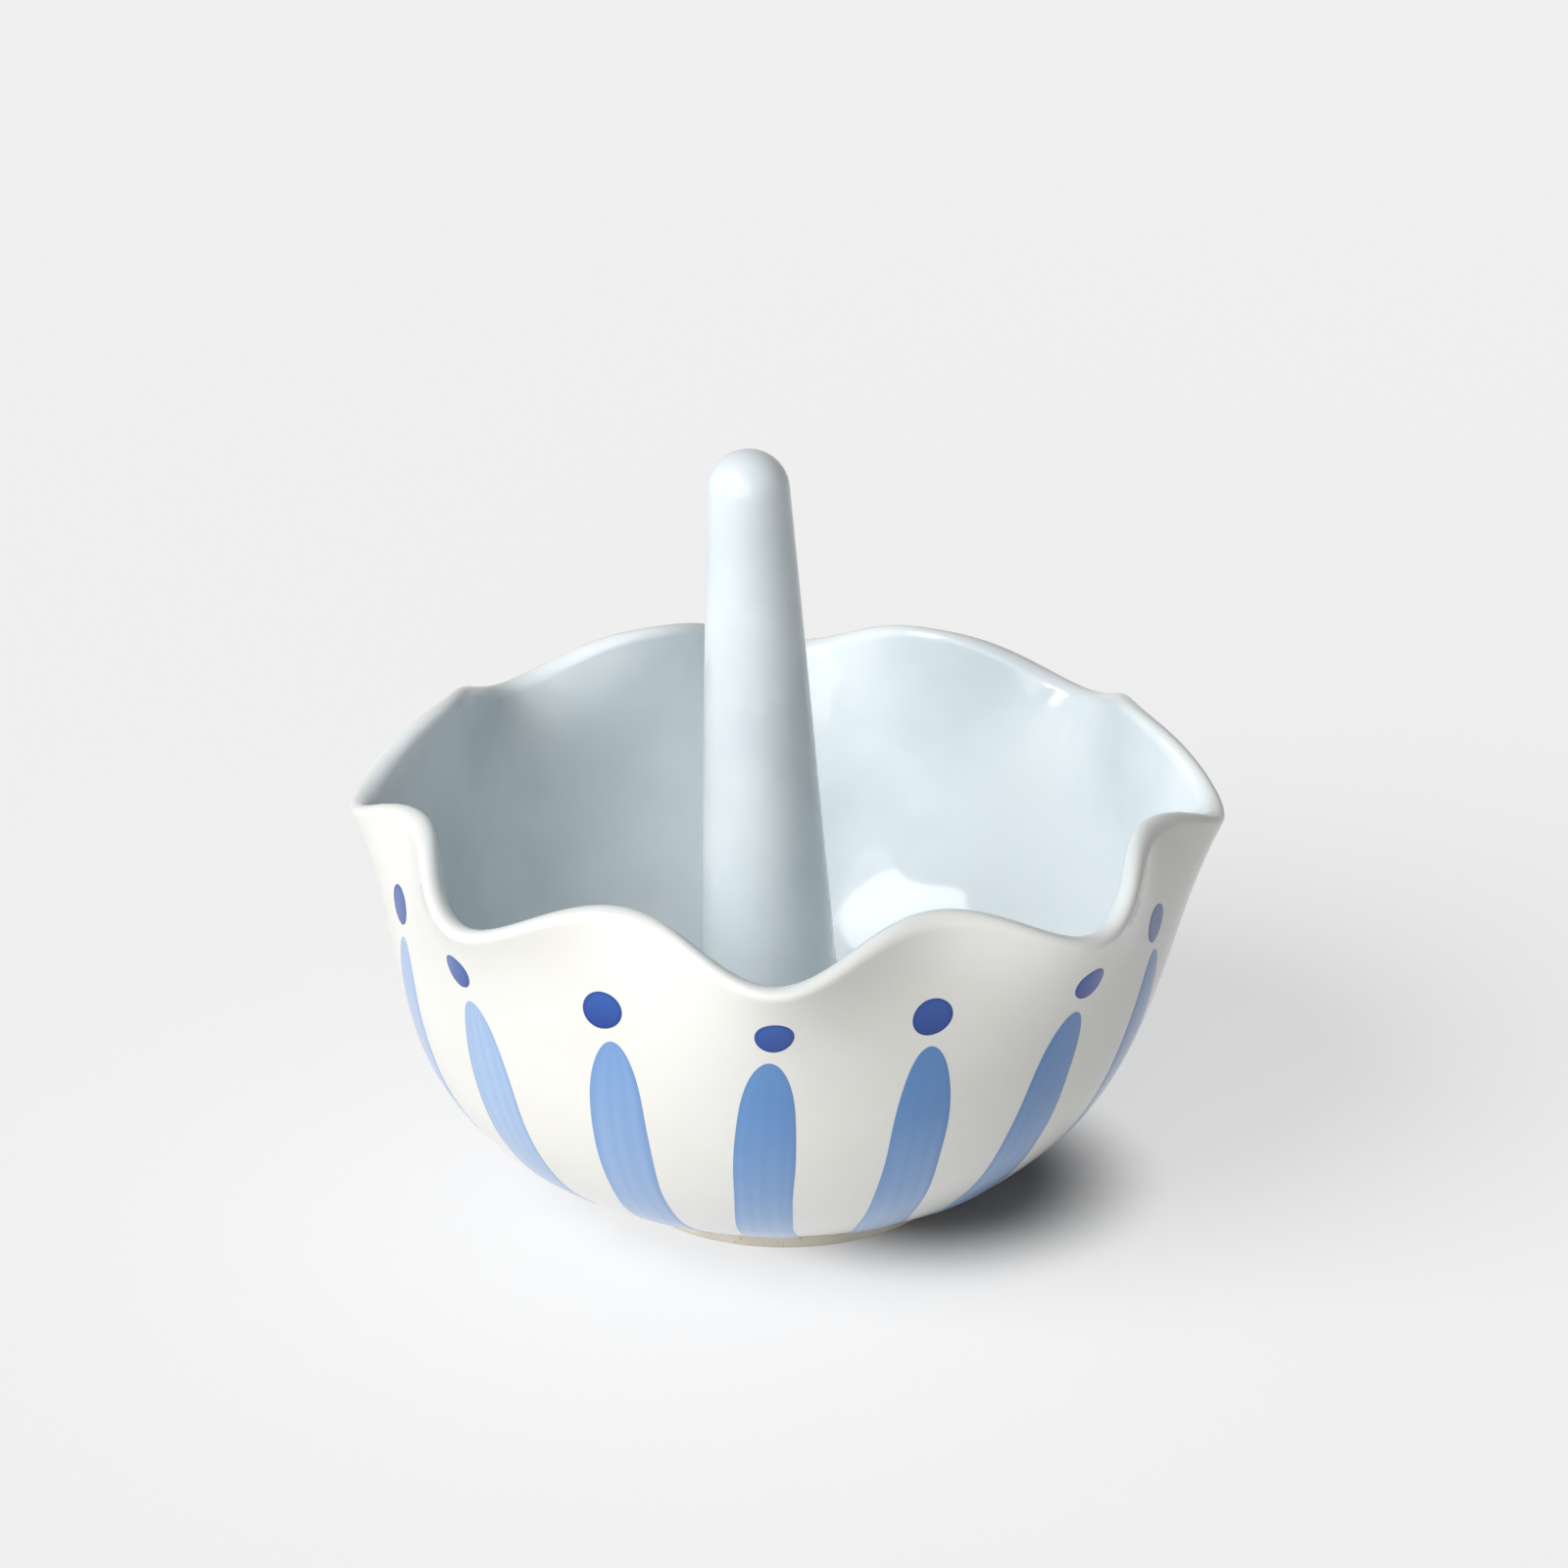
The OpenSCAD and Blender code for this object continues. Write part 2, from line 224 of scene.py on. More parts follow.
@dataclass(frozen=True)
class BowlForm:
    """The bowl's wall, lip and ruffle, in millimetres."""

    foot_h: float
    foot_shift: float
    belly_shift: float
    foot_r: float = 21.9
    rim_r: float = 51.49
    rim_z: float = 52.5
    foot_slope: float = 17.5
    foot_pull: float = 26.5
    rim_slope: float = 82.0
    rim_pull: float = 23.5
    wall: float = 3.0
    floor_z: float = 6.6
    cone_coat_r: float = 13.05
    lobes: int = 8
    ruffle_out: float = 2.56
    ruffle_drop: float = 2.7
    ruffle_flat: float = 0.3
    ruffle_start: float = 27.0
    ruffle_power: float = 2.2
    sway_start: float = 12.0
    glaze: float = 0.4
    floor_soft: float = 1.2
    unevenness: float = 0.07

    @property
    def lip_r(self) -> float:
        """The radius of the round lip."""
        return self.wall / 2

    @property
    def marks(self) -> int:
        """The number of dots, and of petals: one on each crest and in each valley."""
        return 2 * self.lobes

    def poles(self) -> tuple[Array, Array, Array, Array]:
        """The four control points of the wall's curve, as radius and height."""
        foot = np.array([self.foot_r, self.foot_h])
        rim = np.array([self.rim_r, self.rim_z])
        return (
            foot,
            foot + polar(self.foot_pull, self.foot_slope),
            rim - polar(self.rim_pull, self.rim_slope),
            rim,
        )

    def wall_at(self, t: Array) -> Array:
        """A point of the round bowl's outer wall.

        Args:
            t: The place on the wall, from 0 at the foot to 1 at the rim.

        Returns:
            Radius and height on the cubic curve s^3 a + 3 s^2 t b + 3 s t^2 c + t^3 d, where s is 1 - t.
        """
        a, b, c, d = self.poles()
        t = np.asarray(t, float)[..., None]
        s = 1 - t
        return s**3 * a + 3 * s * s * t * b + 3 * s * t * t * c + t**3 * d

    def wall_step(self, t: Array) -> Array:
        """The wall curve's derivative by t, 3 (s^2 (b - a) + 2 s t (c - b) + t^2 (d - c))."""
        a, b, c, d = self.poles()
        t = np.asarray(t, float)[..., None]
        s = 1 - t
        return 3 * (s * s * (b - a) + 2 * s * t * (c - b) + t * t * (d - c))

    def along(self, t: Array) -> Array:
        """The wall's direction upwards, one millimetre long."""
        step = self.wall_step(t)
        return step / np.linalg.norm(step, axis=-1, keepdims=True)

    def inward(self, t: Array) -> Array:
        """The direction into the wall from outside, one millimetre long."""
        step = self.along(t)
        return np.stack([-step[..., 1], step[..., 0]], axis=-1)

    def t_at(self, height: float) -> float:
        """The place on the wall that has a height, found on a fine table of the curve."""
        t = np.linspace(0, 1, 4001)
        return float(np.interp(height, self.wall_at(t)[:, 1], t))

    def ruffle(self, height: Array) -> Array:
        """The share of the ruffle at a height: 0 at its start, 1 at the rim, growing by a power."""
        share = (height - self.ruffle_start) / (self.rim_z - self.ruffle_start)
        return np.clip(share, 0, None) ** self.ruffle_power

    def sway(self, height: Array) -> Array:
        """How far off the rim's centre the bowl stands at a height, along X: by the foot, belly and rim."""
        belly = ease((height - self.foot_h) / (self.sway_start - self.foot_h))
        rim = ease((height - self.sway_start) / (self.rim_z - self.sway_start))
        return -mix(self.foot_shift, self.belly_shift, belly) * (1 - rim)

    def hand(self, t: Array, angle: Array) -> Array:
        """The slight unevenness of a hand-made wall, as a depth.

        Args:
            t: The place on the wall.
            angle: The angle around the bowl.

        Returns:
            A sum of three slow waves around and up the wall, which dies away at the foot and at the rim.
        """
        calm = np.clip(4 * t * (1 - t), 0, 1) ** 0.7
        waves = (
            0.5 * np.sin(3 * angle + 5.0 * t + 0.6)
            + 0.3 * np.sin(5 * angle - 9.0 * t + 2.1)
            + 0.2 * np.sin(2 * angle + 31.0 * t + 4.0)
        )
        return self.unevenness * calm * waves

    def ruffled(self, t: Array, angle: Array, offset: Array) -> Array:
        """Points of the ruffled bowl.

        Args:
            t: The place on the wall.
            angle: The angle around the bowl.
            offset: A step in radius and height from the wall's curve.

        Returns:
            Points in the row frame. With c = cos(lobes x angle) and the ruffle's share w, the radius grows by
            w x out x c, and the height drops by w x (drop x c + w x flat x cos(2 x lobes x angle)).
        """
        t, angle = np.broadcast_arrays(t, angle)
        base = self.wall_at(t)
        share = self.ruffle(base[..., 1])
        c = np.cos(self.lobes * angle)
        radius = base[..., 0] + offset[..., 0] + share * self.ruffle_out * c
        dip = self.ruffle_drop * c + share * self.ruffle_flat * np.cos(2 * self.lobes * angle)
        height = base[..., 1] + offset[..., 1] - share * dip
        return np.stack(
            [radius * np.sin(angle) + self.sway(base[..., 1]), -radius * np.cos(angle), height],
            axis=-1,
        )

    def on_wall(self, t: Array, angle: Array, depth: Array) -> Array:
        """Points at a depth under the outer surface, with the hand-made unevenness."""
        t, angle = np.broadcast_arrays(t, angle)
        sunk = depth + self.hand(t, angle)
        return self.ruffled(t, angle, sunk[..., None] * self.inward(t))

    def on_lip(self, turn: Array, angle: Array, depth: float) -> Array:
        """Points of the round lip.

        Args:
            turn: The angle over the lip, from 0 at its outer side to pi at its inner side.
            angle: The angle around the bowl.
            depth: The depth under the lip's surface.

        Returns:
            Points on a half circle about the lip's middle, which leans so that it meets the wall's two sides
            without a bend.
        """
        radius = self.lip_r - depth
        turn, angle = np.broadcast_arrays(turn, angle)
        offset = (self.lip_r - radius * np.cos(turn))[..., None] * self.inward(1.0)
        offset = offset + (radius * np.sin(turn))[..., None] * self.lip_lean(angle)
        return self.ruffled(np.ones_like(turn), angle, offset)

    def lip_lean(self, angle: Array) -> Array:
        """The ruffled wall's direction upwards at the rim.

        Args:
            angle: The angle around the bowl.

        Returns:
            Radius and height, one millimetre long. The wall's own direction is turned by the growth of the
            ruffle's share there, which is the ruffle's power over its height.
        """
        radius, height = self.along(1.0)
        growth = height * self.ruffle_power / (self.rim_z - self.ruffle_start)
        c, c2 = np.cos(self.lobes * angle), np.cos(2 * self.lobes * angle)
        drop = self.ruffle_drop * c + 2 * self.ruffle_flat * c2
        lean = np.stack([radius + growth * self.ruffle_out * c, height - growth * drop], axis=-1)
        return lean / np.linalg.norm(lean, axis=-1, keepdims=True)

    def levelled(self, t: Array, angle: Array) -> Array:
        """The place on the ruffled wall at the height that t has on the round bowl.

        Args:
            t: The place on the round bowl's wall.
            angle: The angle around the bowl.

        Returns:
            t, moved up in a valley and down on a crest by the ruffle's drop over the wall's rise by t.
        """
        c = np.cos(self.lobes * angle)
        return t + self.ruffle(self.wall_at(t)[..., 1]) * self.ruffle_drop * c / self.wall_step(t)[..., 1]


# Finishes


class NodeTree:
    """A new material with a plain way to add and join its nodes."""

    def __init__(self, name: str) -> None:
        """Makes the material with its surface shader and its output."""
        self.material = bpy.data.materials.new(name)
        self.material.use_nodes = True
        self.nodes = self.material.node_tree.nodes
        self.links = self.material.node_tree.links
        self.nodes.clear()
        self.surface = self.add("ShaderNodeBsdfPrincipled")
        output = self.add("ShaderNodeOutputMaterial")
        self.links.new(self.surface.outputs["BSDF"], output.inputs["Surface"])

    def add(self, kind: str, **settings: object) -> bpy.types.Node:
        """Adds a node and sets its properties."""
        node = self.nodes.new(kind)
        for key, value in settings.items():
            setattr(node, key, value)
        return node

    def feed(self, node: bpy.types.Node, **inputs: object) -> bpy.types.Node:
        """Sets a node's inputs, or joins them to a socket.

        Args:
            node: The node.
            inputs: For each input, with underscores for spaces, a number, a colour or an output socket.

        Returns:
            The same node.
        """
        for key, value in inputs.items():
            socket = node.inputs[key.replace("_", " ")]
            if isinstance(value, bpy.types.NodeSocket):
                self.links.new(value, socket)
            elif isinstance(value, tuple) and len(value) == 3 and socket.type == "RGBA":
                socket.default_value = (*value, 1.0)
            else:
                socket.default_value = value
        return node

    def place(self) -> bpy.types.NodeSocket:
        """The point on the piece, in its own coordinates."""
        return self.add("ShaderNodeTexCoord").outputs["Object"]

    def value(self, name: str) -> bpy.types.NodeSocket:
        """The number that the mesh holds at the point under a name."""
        return self.add("ShaderNodeAttribute", attribute_type="GEOMETRY", attribute_name=name).outputs["Fac"]

    def noise(self, scale: float, detail: float = 2.0, where: bpy.types.NodeSocket | None = None) -> bpy.types.NodeSocket:
        """A cloudy pattern with about scale spots to the metre."""
        node = self.add("ShaderNodeTexNoise")
        self.feed(node, Vector=where or self.place(), Scale=scale, Detail=detail, Roughness=0.5)
        return node.outputs["Fac"]

    def span(self, value: bpy.types.NodeSocket, low: float, high: float, out_low: float, out_high: float) -> bpy.types.NodeSocket:
        """Maps a value from low..high to out_low..out_high, smoothly and within that range."""
        node = self.add("ShaderNodeMapRange", interpolation_type="SMOOTHSTEP")
        node.inputs["From Min"].default_value = low
        node.inputs["From Max"].default_value = high
        node.inputs["To Min"].default_value = out_low
        node.inputs["To Max"].default_value = out_high
        self.links.new(value, node.inputs["Value"])
        return node.outputs["Result"]

    def blend(self, share: bpy.types.NodeSocket, a: object, b: object) -> bpy.types.NodeSocket:
        """The colour a where the share is 0, and b where it is 1."""
        node = self.add("ShaderNodeMix", data_type="RGBA")
        self.links.new(share, node.inputs[0])
        for socket, colour in ((node.inputs[6], a), (node.inputs[7], b)):
            if isinstance(colour, bpy.types.NodeSocket):
                self.links.new(colour, socket)
            else:
                socket.default_value = (*colour, 1.0)
        return node.outputs[2]

    def bump(self, height: bpy.types.NodeSocket, distance: float) -> None:
        """Raises the surface by a height, of which 1 is a distance in metres."""
        node = self.add("ShaderNodeBump")
        self.feed(node, Strength=1.0, Distance=distance, Height=height)
        self.feed(self.surface, Normal=node.outputs["Normal"])


@dataclass(frozen=True)
class Glaze:
    """A glossy glaze with slow changes of tone and a faint orange peel."""

    name: str
    colour: Colour
    cloud: Colour
    gloss: float = 0.16
    ior: float = 1.5
    cloud_scale: float = 55.0
    peel_scale: float = 700.0
    peel: float = 0.000012

    def finish(self, tree: NodeTree, colour: bpy.types.NodeSocket) -> bpy.types.Material:
        """Sets the gloss and the peel, and gives the surface its colour.

        Args:
            tree: The material's nodes.
            colour: The colour's socket.

        Returns:
            The material.
        """
        tree.feed(tree.surface, Base_Color=colour, IOR=self.ior)
        wear = tree.span(tree.noise(self.cloud_scale * 2), 0.3, 0.7, self.gloss * 0.8, self.gloss * 1.25)
        tree.feed(tree.surface, Roughness=wear)
        tree.bump(tree.noise(self.peel_scale), self.peel)
        return tree.material

    def clouds(self, tree: NodeTree) -> bpy.types.NodeSocket:
        """The glaze's colour with its slow change of tone."""
        share = tree.span(tree.noise(self.cloud_scale, 3.0), 0.35, 0.7, 0.0, 1.0)
        return tree.blend(share, self.colour, self.cloud)

    def material(self) -> bpy.types.Material:
        """The material of a plain coat."""
        tree = NodeTree(self.name)
        return self.finish(tree, self.clouds(tree))


@dataclass(frozen=True)
class RimGlaze(Glaze):
    """The outer glaze, which turns into the liner's glaze over the lip and thins at the foot."""

    inside: Glaze | None = None
    thin: Colour = (0.8, 0.7, 0.6)

    def material(self) -> bpy.types.Material:
        """The coat's material, which reads the mesh's values over_lip and near_foot."""
        tree = NodeTree(self.name)
        colour = tree.blend(tree.value("near_foot"), self.clouds(tree), self.thin)
        return self.finish(tree, tree.blend(tree.value("over_lip"), colour, self.inside.clouds(tree)))


@dataclass(frozen=True)
class Slip(Glaze):
    """Blue slip under the clear glaze, brushed on, with a tone at each end of the stroke."""

    end: Colour = (0.5, 0.6, 0.8)
    rim: Colour = (0.1, 0.2, 0.5)
    rim_share: float = 0.5

    def material(self) -> bpy.types.Material:
        """The mark's material, which reads the mesh's values stroke, edge and streak."""
        tree = NodeTree(self.name)
        stroke = tree.span(tree.value("stroke"), 0.0, 1.0, 0.0, 1.0)
        body = tree.blend(stroke, self.clouds(tree), self.end)
        streak = tree.add("ShaderNodeMath", operation="MULTIPLY")
        tree.links.new(tree.span(tree.value("streak"), 0.0, 1.0, 0.0, 1.0), streak.inputs[0])
        streak.inputs[1].default_value = self.rim_share * 0.5
        body = tree.blend(streak.outputs[0], body, self.rim)
        edge = tree.span(tree.value("edge"), 0.72, 1.0, 0.0, self.rim_share)
        return self.finish(tree, tree.blend(edge, body, self.rim))


@dataclass(frozen=True)
class BareClay:
    """Fired clay without glaze: matt and sandy, with fine dark grains."""

    name: str
    colour: Colour
    sand: Colour
    grain: Colour
    roughness: float = 0.85
    sand_scale: float = 260.0
    grain_scale: float = 1500.0

    def material(self) -> bpy.types.Material:
        """The material, whose grains and bumps are noise in the piece's own coordinates."""
        tree = NodeTree(self.name)
        fine = tree.noise(self.grain_scale)
        body = tree.blend(tree.span(tree.noise(self.sand_scale, 4.0), 0.3, 0.7, 0.0, 1.0), self.colour, self.sand)
        body = tree.blend(tree.span(fine, 0.66, 0.74, 0.0, 0.6), body, self.grain)
        tree.feed(tree.surface, Base_Color=body)
        tree.feed(tree.surface, Roughness=tree.span(fine, 0.2, 0.8, self.roughness - 0.08, self.roughness + 0.08))
        tree.bump(fine, 0.00006)
        return tree.material


BLUE_GLAZE = Glaze(
    name="pale_blue_glaze",
    colour=linear(233, 241, 244),
    cloud=linear(221, 231, 235),
    gloss=0.08,
)
WHITE_GLAZE = RimGlaze(
    name="white_glaze",
    colour=linear(241, 240, 235),
    cloud=linear(238, 236, 229),
    gloss=0.08,
    inside=BLUE_GLAZE,
    thin=linear(226, 218, 203),
)
COBALT = Slip(
    name="cobalt_slip",
    colour=linear(34, 76, 160),
    cloud=linear(28, 64, 146),
    end=linear(44, 90, 172),
    rim=linear(22, 50, 126),
)
LIGHT_BLUE = Slip(
    name="light_blue_slip",
    colour=linear(100, 148, 204),
    cloud=linear(91, 140, 199),
    end=linear(168, 194, 229),
    rim=linear(82, 128, 192),
    rim_share=0.25,
)
# The foot ring's clay is written paler than the body's clay, though both are one clay, to make up for the shade
# under the bowl's overhang: painted light.
PAINTED_LIGHT_FOOT_CLAY = BareClay("bare_clay", linear(243, 236, 219), linear(232, 223, 203), linear(176, 158, 130))
BODY_CLAY = BareClay("clay_body", linear(230, 221, 202), linear(219, 207, 184), linear(160, 140, 112))


# The dish's parts


@dataclass
class BowlGlazes:
    """The two coats of glaze on the bowl: one over the outside and the lip, and one inside."""

    form: BowlForm
    columns: int = 384
    wall_rows: int = 108
    lip_rows: int = 28
    back_rows: int = 36
    end_r: float = 0.35
    end_rows: int = 6
    level_r: float = 17.0
    floor_rows: int = 14

    def angles(self) -> Array:
        """One angle a column, around the bowl."""
        return np.arange(self.columns)[None, :] * TURN / self.columns

    def foot_end(self) -> Array:
        """The coat's round end at the glaze line: a quarter circle from the clay out to the surface."""
        turn = np.linspace(0, math.pi / 2, self.end_rows)[:, None]
        length = np.linalg.norm(self.form.wall_step(0.0))
        t = self.end_r * (1 - np.cos(turn)) / length
        return self.form.on_wall(t, self.angles(), self.end_r * (1 - np.sin(turn)))

    def ring_shell(self, rows: Array, ends: list[int], values: dict[str, Array]) -> Shell:
        """A shell of rows around the bowl, of which the last joins the first.

        Args:
            rows: The rows of points.
            ends: The rows at which one side of the coat ends and a flat strip leads to the other side.
            values: One number a row, for each kind of value.

        Returns:
            The shell, with flat faces where its sides end.
        """
        faces = grid_faces(len(rows), self.columns, True, True).reshape(len(rows), self.columns, 4)
        smooth = np.delete(faces, ends, axis=0).reshape(-1, 4)
        spread = {key: np.repeat(numbers, self.columns) for key, numbers in values.items()}
        return Shell(rows, [smooth], [faces[ends].reshape(-1, 4)], spread)

    def outer_coat(self) -> Shell:
        """The outer glaze as one closed ring of rows.

        Returns:
            Rows up the outside, over the lip to its inner side, and back along the clay. over_lip grows from
            0 to 1 over the lip, and near_foot falls from 1 at the glaze line.
        """
        form, angles = self.form, self.angles()
        first = self.end_r / np.linalg.norm(form.wall_step(0.0))
        t = np.linspace(first, 1, self.wall_rows)[1:, None]
        turn = np.linspace(0, math.pi, self.lip_rows)[1:, None]
        back_turn = np.linspace(math.pi, 0, self.lip_rows // 2)[:, None]
        back_t = np.linspace(1, 0, self.back_rows)[1:, None]
        rows = [
            self.foot_end(),
            form.on_wall(t, angles, 0.0),
            form.on_lip(turn, angles, 0.0),
            form.on_lip(back_turn, angles, form.glaze),
            form.on_wall(back_t, angles, form.glaze),
        ]
        points = np.concatenate(rows)
        over = np.concatenate(
            [
                np.zeros(self.end_rows + len(t)),
                ease(turn[:, 0] / math.pi),
                np.ones(len(back_turn)),
                np.zeros(len(back_t)),
            ]
        )
        near = np.concatenate([np.ones(self.end_rows), 1 - ease(t[:, 0] / 0.04)])
        near = np.concatenate([near, np.zeros(len(points) - len(near))])
        inner_end = self.end_rows + len(t) + len(turn) - 1
        return self.ring_shell(points, [inner_end], {"over_lip": over, "near_foot": near})

    def inside_rows(self, t: Array, depth: float, bottom: float) -> Array:
        """Rows down the inside of the wall, which run out softly onto the floor."""
        rows = self.form.on_wall(t, self.angles(), depth)
        rows[..., 2] = soft_max(rows[..., 2], bottom, self.form.floor_soft)
        return rows

    def floor_row(self, last: Array, bottom: float, steps: int) -> Array:
        """Rows from the wall's foot over the floor to the cone's glaze.

        Args:
            last: The wall's last row.
            bottom: The height of the level floor.
            steps: The number of rows.

        Returns:
            Rows whose radius shrinks evenly, and whose height settles to the floor's by the level radius.
        """
        form, angles = self.form, self.angles()
        start_r = np.linalg.norm(last[:, :2] + [form.foot_shift, 0.0], axis=1).mean()
        radius = np.linspace(start_r, form.cone_coat_r, steps + 1)[1:, None]
        settle = ease((start_r - radius) / (start_r - self.level_r))
        height = mix(last[:, 2].mean(), bottom, settle) * np.ones_like(angles)
        x = radius * np.sin(angles) - mix(form.foot_shift, form.belly_shift, settle)
        return np.stack([x, -radius * np.cos(angles), height], axis=-1)

    def liner(self) -> Shell:
        """The liner as one closed ring of rows: down the inside to the cone, and back along the clay."""
        form = self.form
        t = np.linspace(1, 0, self.wall_rows)[:, None]
        front = self.inside_rows(t, form.wall, form.floor_z)
        floor = self.floor_row(front[-1], form.floor_z, self.floor_rows)
        back_t = np.linspace(1, 0, self.back_rows)[:, None]
        under = form.floor_z - form.glaze
        back = self.inside_rows(back_t, form.wall - form.glaze, under)
        back_floor = self.floor_row(back[-1], under, self.floor_rows)
        ends = [len(back) - 1, len(back) + len(front) + len(floor) - 1]
        return self.ring_shell(np.concatenate([back[::-1], front, floor, back_floor[::-1]]), ends, {})

    def build(self) -> None:
        """Makes both coats and dresses them."""
        for name, shell, finish, slot in (
            ("outer_glaze", self.outer_coat(), WHITE_GLAZE, Slot.WHITE_GLAZE),
            ("liner_glaze", self.liner(), BLUE_GLAZE, Slot.BLUE_GLAZE),
        ):
            dress(make_piece(f"{name}_coat", [shell]), finish.material(), slot, name)


@dataclass
class RingCone:
    """The glaze over the ring cone, and over the wiped joint at its base."""

    form: BowlForm
    top_z: float
    base_r: float = 10.05
    tip_r: float = 5.05
    joint_r: float = 3.0
    lean: float = 2.1
    lean_rise: float = 7.0
    columns: int = 144
    side_rows: int = 120
    tip_rows: int = 24
    joint_rows: int = 14
    edge_rows: int = 4
    wobble: float = 0.06

    def profile(self, depth: float) -> Array:
        """The cone's outline from its base to its top, as radius and height over the clay floor.

        Args:
            depth: The depth under the glazed surface.

        Returns:
            A level edge that meets the liner, the hollow curve of the joint, a straight side and a round tip,
            which all meet smoothly.
        """
        floor = self.form.floor_z - self.form.glaze
        tip_r, base_r = self.tip_r - depth, self.base_r - depth
        tip_z = self.top_z - floor - self.tip_r
        taper = math.asin((base_r - tip_r) / math.hypot(base_r - tip_r, tip_z))
        hollow = self.joint_r - self.form.glaze + depth
        centre_z = self.joint_r
        side_z = centre_z + hollow * math.sin(taper)
        side_r = base_r - side_z * math.tan(taper)
        centre_r = side_r + hollow * math.cos(taper)
        turn = np.linspace(math.pi / 2, -0 + taper, self.joint_rows)
        joint = np.stack([centre_r - hollow * np.cos(turn), centre_z - hollow * np.sin(turn)], axis=1)
        level = np.linspace(self.form.cone_coat_r, joint[0, 0], self.edge_rows)[:-1, None]
        edge = np.concatenate([level, np.full_like(level, joint[0, 1])], axis=1)
        rise = np.linspace(0, 1, self.side_rows)[1:-1, None]
        top = np.array([tip_r * math.cos(taper), tip_z + tip_r * math.sin(taper)])
        side = mix(joint[-1], top, rise)
        bend = np.linspace(taper, math.pi / 2, self.tip_rows)[:-1]
        tip = np.stack([tip_r * np.cos(bend), tip_z + tip_r * np.sin(bend)], axis=1)
        return np.concatenate([edge, joint, side, tip])

    def stand(self, outline: Array, top: float) -> tuple[Array, Array]:
        """Turns an outline about the cone's axis and leans it.

        Args:
            outline: Radius and height over the clay floor.
            top: The height of the outline's pole.

        Returns:
            The rows of points, and the pole. The lean grows from none at the floor to its full angle above
            the joint, so that the joint stays level.
        """
        angles = np.arange(self.columns)[None, :] * TURN / self.columns
        radius, height = outline[:, :1], outline[:, 1:] * np.ones_like(angles)
        share = height / top
        fade = ease(share * 6) * ease((1 - share) * 8)
        uneven = self.wobble * fade * (np.sin(2 * angles + 5 * share) + 0.6 * np.sin(3 * angles - 11 * share)) / 1.6
        radius = radius - self.wobble * fade + uneven
        rows = np.stack([radius * np.sin(angles), -radius * np.cos(angles), height], axis=-1)
        pole = np.array([[[0.0, 0.0, top]]])
        return self.leaned(rows), self.leaned(pole)

    def leaned(self, points: Array) -> Array:
        """Turns points towards -X by the lean, which grows with their height, and sets them on the floor."""
        angle = math.radians(self.lean) * ease(points[..., 2] / self.lean_rise)
        x = points[..., 0] * np.cos(angle) - points[..., 2] * np.sin(angle)
        z = points[..., 2] * np.cos(angle) + points[..., 0] * np.sin(angle)
        floor = self.form.floor_z - self.form.glaze
        return np.stack([x - self.form.belly_shift, points[..., 1], z + floor], axis=-1)

    def build(self) -> None:
        """Makes the glaze as one closed shell, with a pole outside and a pole inside."""
        floor = self.form.floor_z - self.form.glaze
        tip_z = self.top_z - floor
        outer, outer_pole = self.stand(self.profile(0.0), tip_z)
        inner, inner_pole = self.stand(self.profile(self.form.glaze), tip_z - self.form.glaze)
        rows = np.concatenate([inner[::-1], outer])
        points = np.concatenate([rows.reshape(-1, 3), inner_pole.reshape(-1, 3), outer_pole.reshape(-1, 3)])
        total, columns = rows.shape[0], self.columns
        here = np.arange(columns)
        beside = (here + 1) % columns
        last = (total - 1) * columns
        caps = [
            np.stack([beside, here, np.full(columns, total * columns)], axis=1),
            np.stack([last + here, last + beside, np.full(columns, total * columns + 1)], axis=1),
        ]
        strips = grid_faces(total, columns, False, True).reshape(total - 1, columns, 4)
        smooth = np.delete(strips, [len(inner) - 1], axis=0).reshape(-1, 4)
        piece = make_piece("cone_glaze_coat", [Shell(points, [smooth, *caps], [strips[len(inner) - 1]])])
        dress(piece, BLUE_GLAZE.material(), Slot.BLUE_GLAZE, "cone_glaze")


